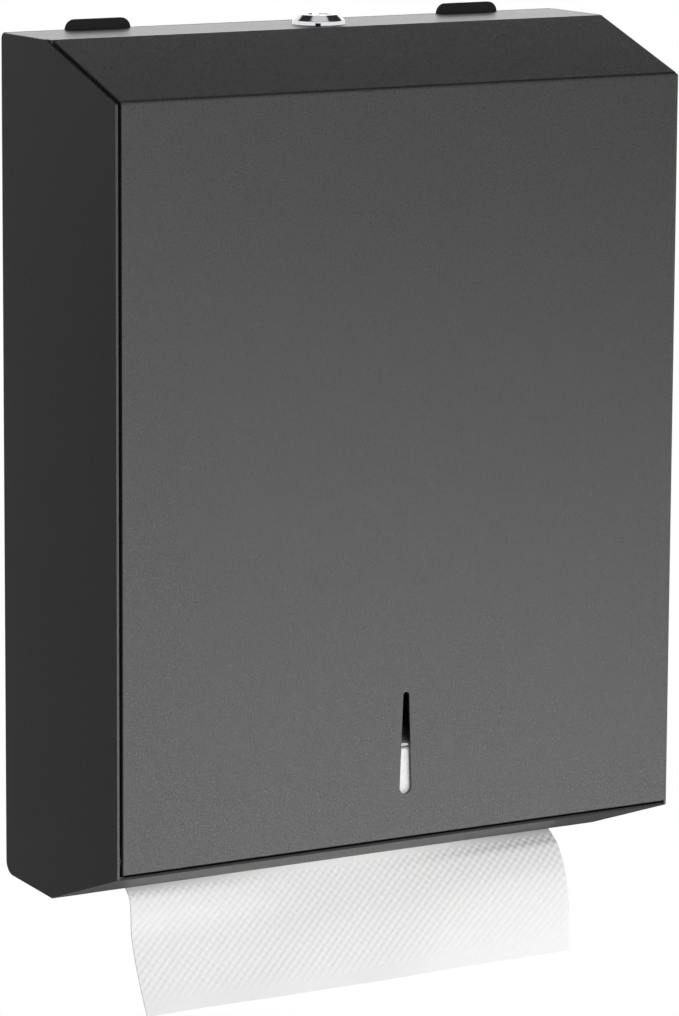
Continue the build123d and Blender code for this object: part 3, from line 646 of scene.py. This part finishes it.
def dark_card(name, size, location, turn):
    """Flat board of this size that the camera doesn't see."""
    bpy.ops.object.select_all(action="DESELECT")
    bpy.ops.mesh.primitive_plane_add(size=1.0, location=location, rotation=turn)
    card = bpy.context.object
    card.name = name
    card.scale = (*size, 1.0)
    card.data.materials.append(card_finish)
    card.visible_camera = False


card_finish = dark_board()
dark_card("left_card", size=(1.6, 2.6), location=(-1.1, 1.5, -0.45), turn=(0.0, pi / 2, 0.0))
dark_card("top_card", size=(3.6, 2.6), location=(0.4, 0.15, 1.3), turn=(0.0, 0.0, 0.0))
dark_card("right_card", size=(2.0, 1.3), location=(1.75, -2.75, 0.25), turn=(pi / 2, 0.0, radians(32.5)))
dark_card("low_card", size=(1.1, 0.9), location=(0.95, 1.05, -0.65), turn=(pi / 2, 0.0, radians(-33.5)))


# Lights: a low soft box to the right of the camera brightens the foot of the door, a wide one
# beside the camera lights the paper, a small one above lights the lock, and one behind the
# cabinet shines along its top.
def soft_box(name, power, size, location, target):
    """Lamp of this power in watts behind a flat diffuser, turned to its target."""
    light = bpy.data.lights.new(name, "AREA")
    light.shape = "RECTANGLE"
    light.energy = power
    light.size, light.size_y = size
    lamp = bpy.data.objects.new(name, light)
    bpy.context.scene.collection.objects.link(lamp)
    lamp.location = location
    lamp.rotation_euler = (Vector(location) - Vector(target)).to_track_quat("Z", "Y").to_euler()


soft_box("low_box", power=13.4, size=(1.1, 0.7), location=(1.04, -1.80, -0.76), target=(0.0, -0.05, -0.05))
soft_box("wide_box", power=29.0, size=(1.8, 0.8), location=(-0.3, -2.4, 0.40), target=(0.0, -0.05, -0.10))
soft_box("top_box", power=1.0, size=(0.9, 0.5), location=(0.0, -0.05, 1.25), target=(0.0, -0.05, 0.0))
soft_box("back_box", power=5.0, size=(1.5, 0.7), location=(1.48, 2.35, 0.45), target=(0.0, -0.02, 0.18))


# Surroundings: soft white all round. What is seen directly, in gloss or through glass is plain
# white, and the light that it sheds on matt surfaces is weaker.
WHITE = (1.0, 1.0, 1.0, 1.0)
AMBIENT = 0.38
world = bpy.data.worlds.new("white_studio")
bpy.context.scene.world = world
world.use_nodes = True
nodes, links = world.node_tree.nodes, world.node_tree.links
soft_light = nodes["Background"]
soft_light.inputs["Color"].default_value = WHITE
soft_light.inputs["Strength"].default_value = AMBIENT
plain_white = nodes.new("ShaderNodeBackground")
plain_white.inputs["Color"].default_value = WHITE
plain_white.inputs["Strength"].default_value = 1.0
choice = nodes.new("ShaderNodeMixShader")
links.new(seen_directly(nodes, links), choice.inputs["Fac"])
links.new(soft_light.outputs["Background"], choice.inputs[1])
links.new(plain_white.outputs["Background"], choice.inputs[2])
links.new(choice.outputs["Shader"], nodes["World Output"].inputs["Surface"])


# Camera: long lens, seen from the left and a little above, as in the photograph. Its place is
# given along its own axes: to the right, up and back from the frame's origin.
AZIMUTH, ELEVATION, ROLL = radians(-31.243), radians(10.116), radians(0.315)
CAMERA_PLACE = (0.02440, -0.03167, 2.2528)
LENS_MM, SENSOR_MM = 182.85, 36.0
round_upright = Matrix.Rotation(AZIMUTH, 3, "Z")
tipped_up = Matrix.Rotation(pi / 2 - ELEVATION, 3, "X")
rolled = Matrix.Rotation(ROLL, 3, "Z")
aim = round_upright @ tipped_up @ rolled
lens = bpy.data.cameras.new("camera")
lens.sensor_width = SENSOR_MM
lens.lens = LENS_MM
camera = bpy.data.objects.new("camera", lens)
bpy.context.scene.collection.objects.link(camera)
camera.location = aim @ Vector(CAMERA_PLACE)
camera.rotation_euler = aim.to_euler()
bpy.context.scene.camera = camera
bpy.context.scene.view_settings.view_transform = "Standard"
